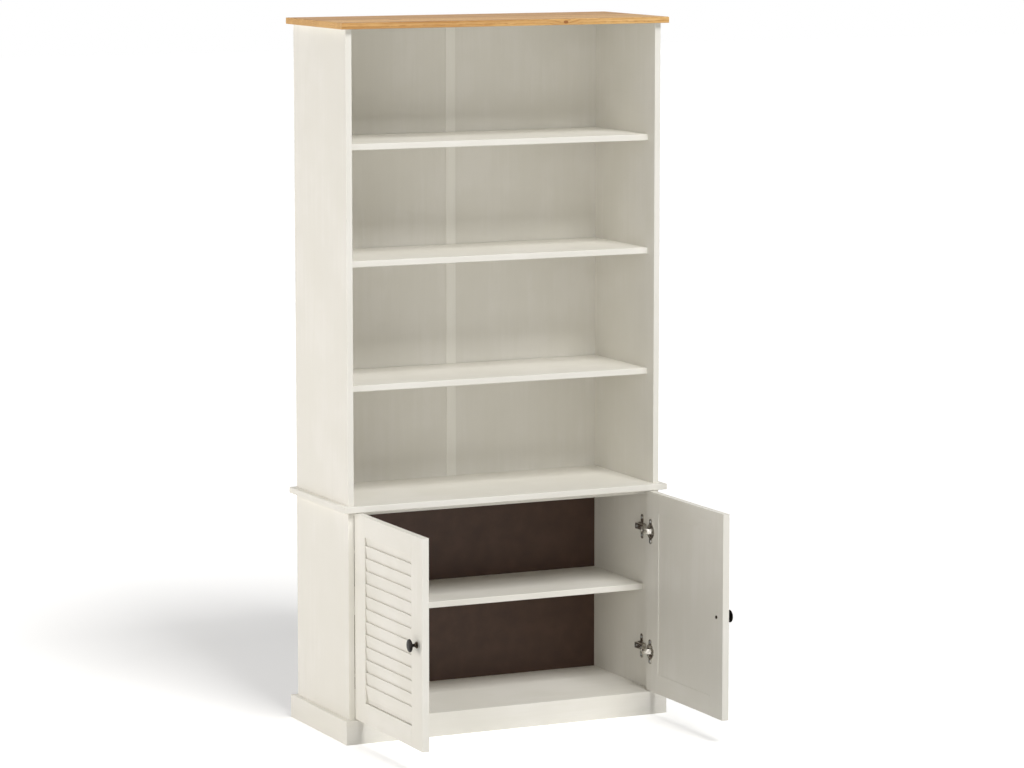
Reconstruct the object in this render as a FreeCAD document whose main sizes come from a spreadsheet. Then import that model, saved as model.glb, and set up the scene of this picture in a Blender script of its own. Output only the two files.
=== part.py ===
import FreeCAD, Part
import os
import Sketcher

# A painted pine bookcase: open shelves above a cupboard with two louvred doors on concealed hinges.
# Millimetres. +Z is up, +X is the viewer's right and the front faces -Y. The origin is on the floor,
# at mid width, under the middle of the plinth's rear board. Both doors stand open at a right angle.

# Driving sizes. Each name is a cell of the sheet, and "in front of" means towards -Y.
SIZES = {
    # carcass
    "overall_width": 850,
    "overall_height": 1700,
    "board": 15,
    "side_overhang": 15,
    "back_overhang": 10,
    "side_depth": 318.5,
    "top_reach": 14.5,
    "waist_reach": 16.5,
    "base_reach": 19.5,
    "waist_top": 568.5,
    "base_top": 57,
    "edge_ease": 1.5,
    "corner_ease": 0.8,
    # fixed shelves: their undersides, as shares of the height between the waist and top boards
    "low_shelf_share": 0.236453,
    "middle_shelf_share": 0.499776,
    "high_shelf_share": 0.745634,
    "shelf_setback": 35.5,
    "shelf_back_gap": 2,
    # cupboard shelf
    "cabinet_shelf_rise": 240,
    "cabinet_shelf_setback": 52,
    "shelf_end_gap": 0.5,
    # backs
    "upper_back_thickness": 4,
    "lower_back_thickness": 3,
    "back_edge_inset": 3,
    "strip_width": 25,
    "strip_wall": 1.6,
    "strip_web": 2,
    "strip_fit": 0.2,
    # plinth
    "block_width": 30,
    "block_floor_gap": 4,
    # dowels, pins and screws
    "dowel_radius": 4,
    "dowel_clear": 0.05,
    "dowel_in_board": 10,
    "dowel_in_side": 22,
    "dowel_in_wall": 8,
    "front_dowel_inset": 55,
    "rear_dowel_inset": 70,
    "lower_dowel_shift": 24,
    "pin_radius": 2.5,
    "pin_in_side": 8,
    "pin_reach": 9,
    "pin_inset": 40,
    "screw_radius": 1.5,
    "screw_length": 18,
    "screw_head_radius": 3.2,
    "screw_head_height": 1.6,
    "screw_end_inset": 60,
    "upper_screw_count": 5,
    "lower_screw_count": 3,
    "block_screw_length": 46,
    # door
    "door_thickness": 17,
    "door_side_gap": 1,
    "door_end_gap": 1.5,
    "door_centre_gap": 4,
    "stile_width": 62,
    "rail_width": 49,
    "tenon_length": 24,
    "tenon_thickness": 5,
    "tenon_shoulder": 12,
    "joint_clear": 0.05,
    "panel_thickness": 3,
    "panel_recess": 1.2,
    "groove_depth": 4,
    "groove_clear": 0.1,
    # louvres
    "slat_count": 13,
    "slat_pitch": 30.2,
    "slat_rise": 10.8,
    "slat_width": 34,
    "slat_thickness": 3.5,
    "slat_tilt": 8,
    "slat_face_inset": 1.5,
    "slat_seat": 5,
    "slat_clear": 0.1,
    # rail behind the closed doors
    "stop_rail_height": 12,
    "stop_rail_gap": 0.5,
    # knob
    "knob_inset": 31,
    "knob_rise": 243.5,
    "knob_radius": 15.5,
    "knob_head_height": 8,
    "knob_projection": 22,
    "knob_neck_radius": 4,
    "knob_foot_radius": 8,
    "knob_foot_height": 3,
    "knob_screw_radius": 2,
    "knob_screw_head_radius": 4,
    "knob_screw_head_height": 2.2,
    "knob_screw_depth": 9,
    # concealed hinge
    "hinge_end_distance": 98,
    "pivot_side": 1,
    "pivot_front": 0,
    "door_angle": 90,
    "cup_edge_distance": 22,
    "cup_radius": 17.5,
    "cup_depth": 11,
    "cup_wall": 1.3,
    "cup_fit": 0.05,
    "flange_thickness": 1.5,
    "flange_rim": 1.0,
    "flange_length": 61,
    "flange_width": 14,
    "cup_screw_spacing": 48,
    "cup_shoulder_drop": 1,
    "cup_pocket_length": 30,
    "cup_pocket_gap": 0.6,
    "guide_angle": 44.5,
    "arm_tip_side": 22.5,
    "arm_tip_back": 13.5,
    "arm_wall": 3.6,
    "arm_nose_height": 8.4,
    "arm_boss_radius": 2.8,
    "arm_lift": 9,
    "arm_channel_height": 14,
    "arm_channel_depth": 7,
    "arm_channel_wall": 1.6,
    "arm_bend_back": 32,
    "arm_tail_length": 46,
    "link_chord": 38,
    "link_rise": 12,
    "link_wall": 3,
    "link_cheek": 1.4,
    "link_gap": 0.4,
    "link_open_angle": 104,
    "link_web_share": 0.55,
    "link_pin_radius": 1.2,
    "link_pin_clear": 0.05,
    "guide_reach": 2.6,
    "guide_clear": 0.1,
    "plate_line": 54,
    "plate_thickness": 2,
    "plate_length": 60,
    "plate_width": 12,
    "plate_foot_length": 40,
    "plate_foot_height": 18,
    "plate_block_height": 9,
    "plate_screw_spacing": 44,
}

# Places and sizes that follow from the driving ones.
DERIVED = {
    "half_width": "overall_width / 2",
    "back_plane": "board / 2",
    "side_back": "back_plane - back_overhang",
    "side_front": "side_back - side_depth",
    "top_front": "side_front - top_reach",
    "waist_front": "side_front - waist_reach",
    "base_front": "side_front - base_reach",
    "top_depth": "back_plane - top_front",
    "waist_depth": "back_plane - waist_front",
    "base_depth": "back_plane - base_front",
    "side_outer": "half_width - side_overhang",
    "side_inner": "side_outer - board",
    "inner_width": "2 * side_inner",
    "top_underside": "overall_height - board",
    "waist_underside": "waist_top - board",
    "upper_height": "top_underside - waist_top",
    "lower_height": "waist_underside - base_top",
    "base_underside": "base_top - board",
    "shelf_front": "side_front + shelf_setback",
    "shelf_back": "side_back - shelf_back_gap",
    "shelf_depth": "shelf_back - shelf_front",
    "low_shelf_z": "waist_top + upper_height * low_shelf_share",
    "middle_shelf_z": "waist_top + upper_height * middle_shelf_share",
    "high_shelf_z": "waist_top + upper_height * high_shelf_share",
    "cabinet_shelf_z": "base_top + cabinet_shelf_rise",
    "cabinet_shelf_front": "side_front + cabinet_shelf_setback",
    "cabinet_shelf_depth": "shelf_back - cabinet_shelf_front",
    "cabinet_shelf_width": "inner_width - 2 * shelf_end_gap",
    "upper_panel_outer": "side_outer - back_edge_inset",
    "upper_panel_inner": "strip_web / 2 + strip_fit",
    "upper_panel_width": "upper_panel_outer - upper_panel_inner",
    "front_dowel_y": "side_front + front_dowel_inset",
    "rear_dowel_y": "side_back - rear_dowel_inset",
    "dowel_x": "side_outer - board / 2",
    "dowel_bore": "dowel_radius + dowel_clear",
    "screw_bore": "screw_radius + dowel_clear",
    "pin_bore": "pin_radius + dowel_clear",
    "pin_front_y": "cabinet_shelf_front + pin_inset",
    "pin_rear_y": "shelf_back - pin_inset",
    "stop_rail_front": "side_front + door_thickness + stop_rail_gap",
    "stop_rail_z": "waist_underside - stop_rail_height",
    "plinth_inner": "half_width - board",
    "bottom_width": "2 * plinth_inner",
    "bottom_front": "base_front + board",
    "bottom_depth": "base_depth - board",
    "block_front_y": "bottom_front",
    "block_rear_y": "back_plane - board - block_width",
    "block_height": "base_underside - block_floor_gap",
    "upper_screw_z": "waist_top + screw_end_inset",
    "upper_screw_span": "upper_height - 2 * screw_end_inset",
    "lower_screw_z": "base_top + screw_end_inset",
    "lower_screw_span": "lower_height - 2 * screw_end_inset",
    "door_width": "(inner_width - 2 * door_side_gap - door_centre_gap) / 2",
    "door_height": "lower_height - 2 * door_end_gap",
    "door_bottom": "base_top + door_end_gap",
    "pivot_x": "door_side_gap - side_inner - pivot_side",
    "pivot_y": "side_front - pivot_front",
    "corner_x": "pivot_x + pivot_side * cos(door_angle * 1deg) + pivot_front * sin(door_angle * 1deg)",
    "corner_y": "pivot_y - pivot_side * sin(door_angle * 1deg) + pivot_front * cos(door_angle * 1deg)",
    "free_stile_x": "door_width - stile_width",
    "rail_length": "door_width - 2 * stile_width",
    "top_rail_z": "door_height - rail_width",
    "field_height": "door_height - 2 * rail_width",
    "slat_length": "rail_length + 2 * slat_seat - 2 * slat_clear",
    "slat_half": "slat_width / 2 - slat_thickness / 2",
    "slat_y": "slat_face_inset + slat_thickness / 2 + slat_half * sin(slat_tilt * 1deg)",
    "slat_reach": "slat_thickness / 2 + slat_half * cos(slat_tilt * 1deg)",
    "first_slat_z": "rail_width + slat_rise + slat_reach",
    "slat_span": "slat_pitch * (slat_count - 1)",
    "panel_y": "door_thickness - panel_recess - panel_thickness",
    "panel_reach": "groove_depth - groove_clear",
    "tenon_height": "rail_width - 2 * tenon_shoulder",
    "tenon_y": "(door_thickness - tenon_thickness) / 2",
    "mortise_depth": "tenon_length + joint_clear",
    "knob_x": "door_width - knob_inset",
    "knob_head_y": "knob_projection - knob_head_height / 2",
    "low_hinge_z": "hinge_end_distance",
    "high_hinge_z": "door_height - hinge_end_distance",
    "cup_floor_y": "door_thickness - cup_depth",
    "cup_bore": "cup_radius + cup_fit",
    "flange_radius": "cup_radius + flange_rim",
    "arm_tip_x": "pivot_x + arm_tip_side",
    "arm_tip_y": "pivot_y + arm_tip_back",
    "plate_y": "side_front + plate_line",
    "arm_front_x": "arm_lift - side_inner",
    "arm_bend_y": "pivot_y + arm_bend_back",
    "arm_back_y": "plate_y + plate_foot_length / 2",
    "nose_root_x": "arm_front_x + arm_channel_wall / 2",
    "nose_root_y": "arm_bend_y + arm_channel_wall",
    "nose_run_x": "arm_tip_x - nose_root_x",
    "nose_run_y": "arm_tip_y - nose_root_y",
    "nose_angle": "atan2(nose_run_y; nose_run_x)",
    "nose_length": "sqrt(nose_run_x * nose_run_x + nose_run_y * nose_run_y)",
    "nose_start_x": "nose_root_x + arm_wall / 2 * sin(nose_angle)",
    "nose_start_y": "nose_root_y - arm_wall / 2 * cos(nose_angle)",
    "link_height": "arm_nose_height + 2 * link_gap + 2 * link_cheek",
    "link_radius": "(link_chord * link_chord / 4 + link_rise * link_rise) / (2 * link_rise)",
    "link_half_sweep": "asin(link_chord / 2 / link_radius)",
    "guide_height": "link_height + 2 * guide_reach",
    "cup_pocket_width": "link_height + 2 * cup_pocket_gap",
    "tip_along": "corner_y - arm_tip_y + link_chord * sin(link_open_angle * 1deg)",
    "tip_depth": "arm_tip_x + link_chord * cos(link_open_angle * 1deg) - corner_x",
    "guide_half": "link_pin_radius + guide_clear",
    "guide_start_x": "tip_along + guide_half * sin(guide_angle * 1deg)",
    "guide_start_y": "tip_depth - guide_half * cos(guide_angle * 1deg)",
}

DOC = FreeCAD.newDocument("bookcase")
SHEET = DOC.addObject("Spreadsheet::Sheet", "sizes")
PARTS = []


def fill_sheet():
    """Writes the driving sizes as plain numbers and the derived ones as formulas."""
    row = 1
    for name, value in SIZES.items():
        SHEET.set("A%d" % row, name)
        SHEET.set("B%d" % row, str(value))
        SHEET.setAlias("B%d" % row, name)
        row += 1
    for name, formula in DERIVED.items():
        SHEET.set("A%d" % row, name)
        SHEET.set("B%d" % row, "=" + formula)
        SHEET.setAlias("B%d" % row, name)
        row += 1
    DOC.recompute()


def cell(name):
    """The present value of a sheet cell, as a plain number."""
    value = SHEET.get(name)
    return float(getattr(value, "Value", value))


def bind(obj, prop, formula):
    """Binds a property to a formula of sheet names."""
    words = []
    for word in formula.replace("(", " ( ").replace(")", " ) ").split():
        words.append("sizes." + word if word in SIZES or word in DERIVED else word)
    obj.setExpression(prop, " ".join(words))


def place(obj, corner, prop="Placement"):
    """Binds the three coordinates of a placement."""
    for axis, formula in zip("xyz", corner):
        bind(obj, "%s.Base.%s" % (prop, axis), formula)


def keep(obj, label):
    """Marks an object as a sub-part that is written out under its label."""
    obj.Label = label
    PARTS.append(obj)
    return obj


def body(name):
    """An empty body of one piece."""
    return DOC.addObject("PartDesign::Body", name)


def sketch_on(owner, role, offset=("0", "0", "0"), turn=None):
    """A sketch on one of the body's own origin planes, with a bound offset."""
    plane = [f for f in owner.Origin.OriginFeatures if f.Role == role][0]
    sketch = owner.newObject("Sketcher::SketchObject", owner.Name + "_sketch")
    sketch.AttachmentSupport = [(plane, "")]
    sketch.MapMode = "FlatFace"
    place(sketch, offset, "AttachmentOffset")
    if turn is not None:
        bind(sketch, "AttachmentOffset.Rotation.Angle", turn)
    return sketch


def rectangle(sketch, left, low, width, height):
    """A rectangle whose corner and sides are bound to the sheet."""
    corners = [(0, 0), (1, 0), (1, 1), (0, 1)]
    for start, end in zip(corners, corners[1:] + corners[:1]):
        line = Part.LineSegment(FreeCAD.Vector(*start, 0), FreeCAD.Vector(*end, 0))
        sketch.addGeometry(line, False)
    for line in range(4):
        sketch.addConstraint(Sketcher.Constraint("Coincident", line, 2, (line + 1) % 4, 1))
    for line, way in enumerate(("Horizontal", "Vertical", "Horizontal", "Vertical")):
        sketch.addConstraint(Sketcher.Constraint(way, line))
    measures = (("DistanceX", 0, 1, 0, 2, width), ("DistanceY", 1, 1, 1, 2, height),
                ("DistanceX", -1, 1, 0, 1, left), ("DistanceY", -1, 1, 0, 1, low))
    for kind, first, point, second, other, formula in measures:
        index = sketch.addConstraint(Sketcher.Constraint(kind, first, point, second, other, 1))
        bind(sketch, "Constraints[%d]" % index, formula)


def board(name, size, corner, local=("0", "0", "0")):
    """A board: a rectangle on the XY plane, padded up. local is its corner in the body's frame."""
    piece = body(name)
    sketch = sketch_on(piece, "XY_Plane", ("0", "0", local[2]))
    rectangle(sketch, local[0], local[1], size[0], size[1])
    pad = piece.newObject("PartDesign::Pad", name + "_pad")
    pad.Profile = sketch
    bind(pad, "Length", size[2])
    sketch.Visibility = False
    if corner is not None:
        place(piece, corner)
    DOC.recompute()
    return piece


def primitive(piece, kind, corner, sizes, turn=None):
    """An additive or subtractive primitive of a body, placed in the body's frame."""
    feature = piece.newObject("PartDesign::" + kind, piece.Name + "_" + kind.lower())
    for prop, formula in sizes.items():
        bind(feature, prop, formula)
    if turn is not None:
        feature.Placement = FreeCAD.Placement(FreeCAD.Vector(), turn)
    place(feature, corner)
    DOC.recompute()
    return feature


ALONG_X = FreeCAD.Rotation(FreeCAD.Vector(0, 1, 0), 90)
ALONG_Y = FreeCAD.Rotation(FreeCAD.Vector(1, 0, 0), -90)
BACK_ALONG_X = FreeCAD.Rotation(FreeCAD.Vector(0, 1, 0), -90)
BACK_ALONG_Y = FreeCAD.Rotation(FreeCAD.Vector(1, 0, 0), 90)


def drill(piece, corner, radius, depth, turn=None):
    """A round hole that starts at corner and runs along +Z, or as turned."""
    return primitive(piece, "SubtractiveCylinder", corner, {"Radius": radius, "Height": depth}, turn)


def notch(piece, corner, size):
    """A rectangular cut."""
    return primitive(piece, "SubtractiveBox", corner, dict(zip(("Length", "Width", "Height"), size)))


def repeat(piece, feature, span, count):
    """Repeats a feature up the body's Z axis."""
    pattern = piece.newObject("PartDesign::LinearPattern", piece.Name + "_pattern")
    pattern.Originals = [feature]
    axis = [f for f in piece.Origin.OriginFeatures if f.Role == "Z_Axis"][0]
    pattern.Direction = (axis, [""])
    bind(pattern, "Length", span)
    bind(pattern, "Occurrences", count)
    piece.Tip = pattern
    DOC.recompute()
    return pattern


def ease(piece, chosen, radius="edge_ease", kind="Fillet"):
    """Rounds or bevels the edges of the body that the test picks."""
    last = piece.Tip
    names = []
    for number, edge in enumerate(last.Shape.Edges, 1):
        if chosen(edge):
            names.append("Edge%d" % number)
    feature = piece.newObject("PartDesign::" + kind, piece.Name + "_ease")
    feature.Base = (last, names)
    bind(feature, "Radius" if kind == "Fillet" else "Size", radius)
    DOC.recompute()
    return feature


def straight(edge, way):
    """True for a straight edge along the given direction."""
    if edge.Curve.TypeId != "Part::GeomLine":
        return False
    first, last = edge.Vertexes[0].Point, edge.Vertexes[-1].Point
    run = last - first
    return run.Length > 0 and abs(run.getAngle(way)) < 0.01 or abs(run.getAngle(way * -1)) < 0.01


def front_edges(edge):
    """The long edges along X at the front of a board that starts at y = 0."""
    return straight(edge, FreeCAD.Vector(1, 0, 0)) and abs(edge.CenterOfMass.y) < 0.01


def front_uprights(edge):
    """The upright edges at the front of a board that starts at y = 0."""
    return straight(edge, FreeCAD.Vector(0, 0, 1)) and abs(edge.CenterOfMass.y) < 0.01


def rod(name, corner, radius, length, turn=None):
    """A plain cylinder, such as a dowel, a pin or a screw's shank."""
    cylinder = DOC.addObject("Part::Cylinder", name)
    bind(cylinder, "Radius", radius)
    bind(cylinder, "Height", length)
    if turn is not None:
        cylinder.Placement = FreeCAD.Placement(FreeCAD.Vector(), turn)
    place(cylinder, corner)
    return cylinder


def group(label, members):
    """Identical pieces that share one sub-part, each its own solid."""
    compound = DOC.addObject("Part::Compound", label)
    compound.Links = members
    return keep(compound, label)


def mirrored(source, label):
    """The same piece on the other side of the bookcase."""
    mirror = DOC.addObject("Part::Mirroring", label)
    mirror.Source = source
    mirror.Base = FreeCAD.Vector(0, 0, 0)
    mirror.Normal = FreeCAD.Vector(1, 0, 0)
    return keep(mirror, label)


def both_sides(source, left_label):
    """Keeps the left piece and its mirror image."""
    keep(source, left_label)
    return mirrored(source, left_label.replace("left", "right"))


def wide_board(label, front, depth, underside):
    """The top and waist boards: full width, eased along the front and both ends."""
    piece = board(label, ("overall_width", depth, "board"), ("- half_width", front, underside))
    back = cell(depth)

    def outer(edge):
        level = straight(edge, FreeCAD.Vector(1, 0, 0)) or straight(edge, FreeCAD.Vector(0, 1, 0))
        return level and edge.CenterOfMass.y < back - 0.01

    ease(piece, outer)
    return keep(piece, label)


def dowel_places():
    """Rows of upright dowels: name, x, y, z of the board's face, and the way into the side."""
    rows = []
    for hand, sign in (("left", "- "), ("right", "")):
        for spot, y in (("front", "front_dowel_y"), ("rear", "rear_dowel_y")):
            rows.append((hand + spot, sign + "dowel_x", y))
    return rows


def shift_y(y):
    """Lower dowels stand clear of the upper ones in the waist board."""
    return y + " + lower_dowel_shift" if y.startswith("front") else y + " - lower_dowel_shift"


def carcass_boards():
    """The top, waist and bottom boards, the four side panels and the dowels between them."""
    top = wide_board("top_board", "top_front", "top_depth", "top_underside")
    waist = wide_board("waist_board", "waist_front", "waist_depth", "waist_underside")
    base = keep(board("bottom_board", ("bottom_width", "bottom_depth", "board"),
                      ("- plinth_inner", "bottom_front", "base_underside")), "bottom_board")
    dowels = []
    length = "dowel_in_board + dowel_in_side"
    for number, (spot, x, y) in enumerate(dowel_places()):
        low_y = shift_y(y)
        # holes in the wide boards, in each board's own frame
        drill(top, ("half_width + ( " + x + " )", y + " - top_front", "0"), "dowel_bore", "dowel_in_board")
        drill(waist, ("half_width + ( " + x + " )", y + " - waist_front", "board - dowel_in_board"),
              "dowel_bore", "dowel_in_board")
        drill(waist, ("half_width + ( " + x + " )", low_y + " - waist_front", "0"),
              "dowel_bore", "dowel_in_board")
        drill(base, ("plinth_inner + ( " + x + " )", low_y + " - bottom_front", "board - dowel_in_board"),
              "dowel_bore", "dowel_in_board")
        # the dowels themselves
        dowels.append(rod("dowel_top%d" % number, (x, y, "top_underside - dowel_in_side"),
                          "dowel_radius", length))
        dowels.append(rod("dowel_over%d" % number, (x, y, "waist_top - dowel_in_board"),
                          "dowel_radius", length))
        dowels.append(rod("dowel_under%d" % number, (x, low_y, "waist_underside - dowel_in_side"),
                          "dowel_radius", length))
        dowels.append(rod("dowel_base%d" % number, (x, low_y, "base_top - dowel_in_board"),
                          "dowel_radius", length))
    upper = board("upper_side_left", ("board", "side_depth", "upper_height"),
                  ("- side_outer", "side_front", "waist_top"))
    lower = board("lower_side_left", ("board", "side_depth", "lower_height"),
                  ("- side_outer", "side_front", "base_top"))
    for piece in (upper, lower):
        ease(piece, front_uprights, "corner_ease")
    for piece, height, mover in ((upper, "upper_height", str), (lower, "lower_height", shift_y)):
        for y in ("front_dowel_y", "rear_dowel_y"):
            spot = mover(y) + " - side_front"
            drill(piece, ("board / 2", spot, "0"), "dowel_bore", "dowel_in_side")
            drill(piece, ("board / 2", spot, height + " - dowel_in_side"), "dowel_bore", "dowel_in_side")
    return upper, lower, base, dowels


def fixed_shelves(upper):
    """Three shelves between the upper sides, on level dowels in their ends."""
    dowels = []
    for label, z in (("upper_shelf_low", "low_shelf_z"), ("upper_shelf_middle", "middle_shelf_z"),
                     ("upper_shelf_high", "high_shelf_z")):
        shelf = board(label, ("inner_width", "shelf_depth", "board"), ("- side_inner", "shelf_front", z))
        ease(shelf, front_edges)
        for y in ("front_dowel_y", "rear_dowel_y"):
            y_shelf = y + " - shelf_front"
            drill(shelf, ("0", y_shelf, "board / 2"), "dowel_bore", "dowel_in_side", ALONG_X)
            drill(shelf, ("inner_width", y_shelf, "board / 2"), "dowel_bore", "dowel_in_side", BACK_ALONG_X)
            z_side = z + " + board / 2 - waist_top"
            drill(upper, ("board", y + " - side_front", z_side), "dowel_bore", "dowel_in_wall", BACK_ALONG_X)
            dowels.append(rod("shelf_dowel", ("- side_inner - dowel_in_wall", y, z + " + board / 2"),
                              "dowel_radius", "dowel_in_wall + dowel_in_side", ALONG_X))
            dowels.append(rod("shelf_dowel", ("side_inner - dowel_in_side", y, z + " + board / 2"),
                              "dowel_radius", "dowel_in_wall + dowel_in_side", ALONG_X))
        keep(shelf, label)
    group("shelf_dowels", dowels)


def cupboard_shelf(lower):
    """The loose shelf in the cupboard, resting on four metal pins."""
    shelf = board("cabinet_shelf", ("cabinet_shelf_width", "cabinet_shelf_depth", "board"),
                  ("shelf_end_gap - side_inner", "cabinet_shelf_front", "cabinet_shelf_z"))
    ease(shelf, front_edges)
    keep(shelf, "cabinet_shelf")
    pins = []
    for y in ("pin_front_y", "pin_rear_y"):
        z = "cabinet_shelf_z - pin_radius"
        drill(lower, ("board", y + " - side_front", z + " - base_top"), "pin_bore", "pin_in_side",
              BACK_ALONG_X)
        pins.append(rod("shelf_pin", ("- side_inner - pin_in_side", y, z), "pin_radius",
                        "pin_in_side + pin_reach", ALONG_X))
        pins.append(rod("shelf_pin", ("side_inner - pin_reach", y, z), "pin_radius",
                        "pin_in_side + pin_reach", ALONG_X))
    group("shelf_pins", pins)


def stop_rail():
    """The painted rail under the waist board that the closed doors stop against."""
    piece = board("door_stop_rail", ("inner_width", "board", "stop_rail_height"),
                  ("- side_inner", "stop_rail_front", "stop_rail_z"))
    ease(piece, lambda edge: front_edges(edge) and edge.CenterOfMass.z < 0.01, "corner_ease")
    keep(piece, "door_stop_rail")


def screw(name, corner, length, turn):
    """A pan-headed screw: the head stands back from corner and the shank runs on from it."""
    piece = body(name)
    primitive(piece, "AdditiveCylinder", ("0", "0", "0"), {"Radius": "screw_radius", "Height": length})
    primitive(piece, "AdditiveCylinder", ("0", "0", "- screw_head_height"),
              {"Radius": "screw_head_radius", "Height": "screw_head_height"})

    def rim(edge):
        return edge.Curve.TypeId == "Part::GeomCircle" and edge.CenterOfMass.z < -0.01

    ease(piece, rim, "screw_head_height / 2", "Chamfer")
    piece.Placement = FreeCAD.Placement(FreeCAD.Vector(), turn)
    place(piece, corner)
    return piece


def backs(upper, lower):
    """Two painted panels with an H-shaped joint strip above, one hardboard panel below."""
    panel = board("upper_back_left", ("upper_panel_width", "upper_back_thickness", "upper_height"),
                  ("- upper_panel_outer", "side_back", "waist_top"))
    low_panel = board("lower_back_panel", ("2 * upper_panel_outer", "lower_back_thickness", "lower_height"),
                      ("- upper_panel_outer", "side_back", "base_top"))
    side_x = "upper_panel_outer - dowel_x"
    hole = drill(panel, (side_x, "0", "screw_end_inset"), "screw_bore", "upper_back_thickness", ALONG_Y)
    repeat(panel, hole, "upper_screw_span", "upper_screw_count")
    for x in (side_x, "upper_panel_outer + dowel_x"):
        hole = drill(low_panel, (x, "0", "screw_end_inset"), "screw_bore", "lower_back_thickness", ALONG_Y)
        repeat(low_panel, hole, "lower_screw_span", "lower_screw_count")
    for piece, thick, span, count in (
            (upper, "upper_back_thickness", "upper_screw_span", "upper_screw_count"),
            (lower, "lower_back_thickness", "lower_screw_span", "lower_screw_count")):
        hole = drill(piece, ("board / 2", "side_depth", "screw_end_inset"), "screw_bore",
                     "screw_length - " + thick, BACK_ALONG_Y)
        repeat(piece, hole, span, count)
    screws = []
    for start, span, count, thick in (
            ("upper_screw_z", "upper_screw_span", "upper_screw_count", "upper_back_thickness"),
            ("lower_screw_z", "lower_screw_span", "lower_screw_count", "lower_back_thickness")):
        number = int(cell(count))
        for step in range(number):
            z = "%s + %s * %d / ( %s - 1 )" % (start, span, step, count)
            for x in ("- dowel_x", "dowel_x"):
                screws.append(screw("back_screw", (x, "side_back + " + thick, z), "screw_length",
                                    BACK_ALONG_Y))
    both_sides(panel, "upper_back_left")
    keep(low_panel, "lower_back_panel")
    strip = board("upper_back_strip", ("strip_width", "strip_wall", "upper_height"),
                  ("- strip_width / 2", "side_back - strip_wall", "waist_top"))
    for start, width, depth in (("( strip_width - strip_web ) / 2", "strip_web", "upper_back_thickness"),
                                ("0", "strip_width", "strip_wall")):
        y = "strip_wall" if width == "strip_web" else "strip_wall + upper_back_thickness"
        primitive(strip, "AdditiveBox", (start, y, "0"),
                  {"Length": width, "Width": depth, "Height": "upper_height"})
    keep(strip, "upper_back_strip")
    group("back_screws", screws)


def plinth(base):
    """A front and two sides round the bottom board, a rear under it, and a screwed block in each corner."""
    def at_top(edge):
        return edge.CenterOfMass.z > cell("base_top") - 0.01

    def front_rim(edge):
        end = straight(edge, FreeCAD.Vector(0, 1, 0)) and at_top(edge)
        return end or front_uprights(edge) or front_edges(edge) and at_top(edge)

    def side_rim(edge):
        return straight(edge, FreeCAD.Vector(0, 1, 0)) and at_top(edge) and abs(edge.CenterOfMass.x) < 0.01

    front = board("plinth_front", ("overall_width", "board", "base_top"),
                  ("- half_width", "base_front", "0"))
    ease(front, front_rim, "corner_ease")
    keep(front, "plinth_front")
    side = board("plinth_side_left", ("board", "bottom_depth", "base_top"),
                 ("- half_width", "bottom_front", "0"))
    ease(side, side_rim, "corner_ease")
    both_sides(side, "plinth_side_left")
    rear = board("plinth_rear", ("bottom_width", "board", "base_underside"),
                 ("- plinth_inner", "back_plane - board", "0"))
    keep(rear, "plinth_rear")
    blocks = []
    screws = []
    for x, centre in (("- plinth_inner", "block_width / 2 - plinth_inner"),
                      ("plinth_inner - block_width", "plinth_inner - block_width / 2")):
        for y in ("block_front_y", "block_rear_y"):
            block = board("corner_block", ("block_width", "block_width", "block_height"),
                          (x, y, "block_floor_gap"))
            middle = "block_width / 2"
            drill(block, (middle, middle, "0"), "screw_bore", "block_height")
            blocks.append(block)
            y_screw = y + " + block_width / 2"
            drill(base, ("plinth_inner + ( " + centre + " )", y_screw + " - bottom_front", "0"),
                  "screw_bore", "block_screw_length - block_height")
            screws.append(screw("block_screw", (centre, y_screw, "block_floor_gap"),
                                "block_screw_length", FreeCAD.Rotation()))
    group("plinth_corner_blocks", blocks)
    group("plinth_screws", screws)


def door_frame(piece):
    """Puts a body of the left door in the door's frame, open by the door's angle.

    In that frame x runs from the hinge edge, y from the outer face and z from the bottom edge."""
    bind(piece, "Placement.Rotation.Angle", "- door_angle")
    place(piece, ("corner_x", "corner_y", "door_bottom"))
    return piece


def door_board(name, corner, size):
    """A board of the door, drawn in the door's frame."""
    return door_frame(board(name, size, None, corner))


def obround(sketch, half, radius):
    """A slot shape along the sketch's X axis: two straight sides with round ends."""
    up = FreeCAD.Vector(0, 0, 1)
    long = cell_of(half)
    round_ = cell_of(radius)
    ends = []
    for side, first, last in ((1, -0.5, 0.5), (-1, 0.5, 1.5)):
        circle = Part.Circle(FreeCAD.Vector(side * long, 0, 0), up, round_)
        arc = Part.ArcOfCircle(circle, first * 3.14159265, last * 3.14159265)
        ends.append(sketch.addGeometry(arc, False))
    lines = []
    for height in (1, -1):
        start = FreeCAD.Vector(height * long, height * round_, 0)
        end = FreeCAD.Vector(-height * long, height * round_, 0)
        lines.append(sketch.addGeometry(Part.LineSegment(start, end), False))
    right, left = ends
    top, bottom = lines
    for pair in ((right, 2, top, 1), (top, 2, left, 1), (left, 2, bottom, 1), (bottom, 2, right, 1)):
        sketch.addConstraint(Sketcher.Constraint("Tangent", *pair))
    sketch.addConstraint(Sketcher.Constraint("Equal", right, left))
    sketch.addConstraint(Sketcher.Constraint("Symmetric", right, 3, left, 3, -1, 1))
    sketch.addConstraint(Sketcher.Constraint("PointOnObject", right, 3, -1))
    index = sketch.addConstraint(Sketcher.Constraint("Radius", right, round_))
    bind(sketch, "Constraints[%d]" % index, radius)
    index = sketch.addConstraint(Sketcher.Constraint("DistanceX", -1, 1, right, 3, long))
    bind(sketch, "Constraints[%d]" % index, half)


def cell_of(formula):
    """The present value of a formula of sheet names, for a sketch's first guess."""
    words = []
    for word in formula.replace("(", " ( ").replace(")", " ) ").split():
        words.append(str(cell(word)) if word in SIZES or word in DERIVED else word)
    return float(FreeCAD.Units.Quantity(" ".join(words)).Value)


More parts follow.
